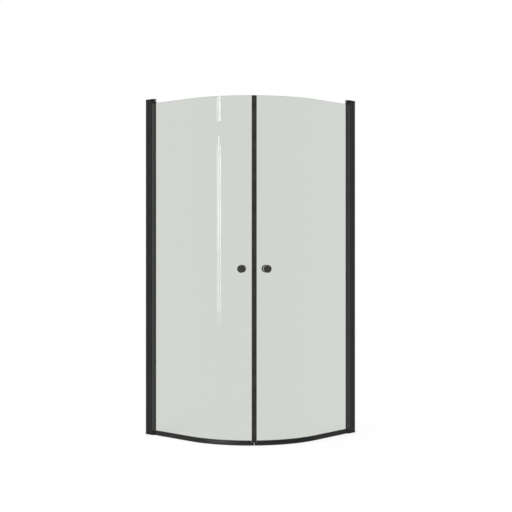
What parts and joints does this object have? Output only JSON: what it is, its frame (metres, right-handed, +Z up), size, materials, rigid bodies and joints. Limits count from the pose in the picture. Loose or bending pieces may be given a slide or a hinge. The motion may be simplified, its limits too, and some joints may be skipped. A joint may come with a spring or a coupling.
{
  "type": "curved shower door",
  "caption": "Corner shower enclosure front: curved clear glass doors that swing outwards on black wall profiles, with round knobs and a magnetic seam.",
  "frame": {"origin": "middle of the square plan between the wall planes and the outermost faces, at floor level", "axes": "+Z up; the left wall profile stands on the wall plane x = -0.446 m and the right one on y = +0.446 m, and the doors meet on the diagonal towards +X and -Y"},
  "size_m": [0.892, 0.892, 2],
  "materials": {
    "black_profile": "satin black anodised",
    "black_plastic": "moulded black nylon",
    "black_seal": "soft black PVC",
    "magnet": "flexible magnet strip",
    "clear_glass": "clear toughened glass",
    "steel": "stainless steel",
    "black_screw": "black oxide screw",
    "white_nylon": "natural nylon",
    "soft_washer": "translucent soft washer",
    "black_knob": "satin black lacquer"
  },
  "bodies": {
    "wall_frame": {"wall_channel_left": "black_profile", "adjusting_profile_left": "black_profile", "hinge_seal_left": "black_seal", "bottom_cap_left": "black_plastic", "top_cap_left": "black_plastic", "bottom_pivot_pin_left": "steel", "top_pivot_pin_left": "steel", "thrust_washer_left": "white_nylon", "cap_screws_left": "black_screw", "fixing_screws_left": "steel", "screw_covers_left": "black_plastic", "wall_channel_right": "black_profile", "adjusting_profile_right": "black_profile", "hinge_seal_right": "black_seal", "bottom_cap_right": "black_plastic", "top_cap_right": "black_plastic", "bottom_pivot_pin_right": "steel", "top_pivot_pin_right": "steel", "thrust_washer_right": "white_nylon", "cap_screws_right": "black_screw", "fixing_screws_right": "steel", "screw_covers_right": "black_plastic"},
    "left_door": {"pivot_tube_left": "black_profile", "bottom_rail_left": "black_profile", "bottom_bush_left": "black_plastic", "top_bush_left": "black_plastic", "rail_end_cap_left": "black_plastic", "glazing_gasket_left": "black_seal", "rail_gasket_left": "black_seal", "bottom_seal_left": "black_seal", "edge_seal_left": "black_seal", "magnet_strip_left": "magnet", "glass_left": "clear_glass", "knob_stud_left": "steel", "knob_sleeve_left": "white_nylon", "knob_washers_left": "soft_washer", "knob_outer_left": "black_knob", "knob_inner_left": "black_knob"},
    "right_door": {"pivot_tube_right": "black_profile", "bottom_rail_right": "black_profile", "bottom_bush_right": "black_plastic", "top_bush_right": "black_plastic", "rail_end_cap_right": "black_plastic", "glazing_gasket_right": "black_seal", "rail_gasket_right": "black_seal", "bottom_seal_right": "black_seal", "edge_seal_right": "black_seal", "magnet_strip_right": "magnet", "glass_right": "clear_glass", "knob_stud_right": "steel", "knob_sleeve_right": "white_nylon", "knob_washers_right": "soft_washer", "knob_outer_right": "black_knob", "knob_inner_right": "black_knob"}
  },
  "joints": [
    {"name": "left_door_swing", "type": "hinge", "parent": "wall_frame", "child": "left_door", "pos_m": [-0.393, -0.4295, 0], "axis": [0, 0, -1], "range_deg": [0, 90]},
    {"name": "right_door_swing", "type": "hinge", "parent": "wall_frame", "child": "right_door", "pos_m": [0.4295, 0.393, 0], "axis": [0, 0, 1], "range_deg": [0, 90]}
  ]
}
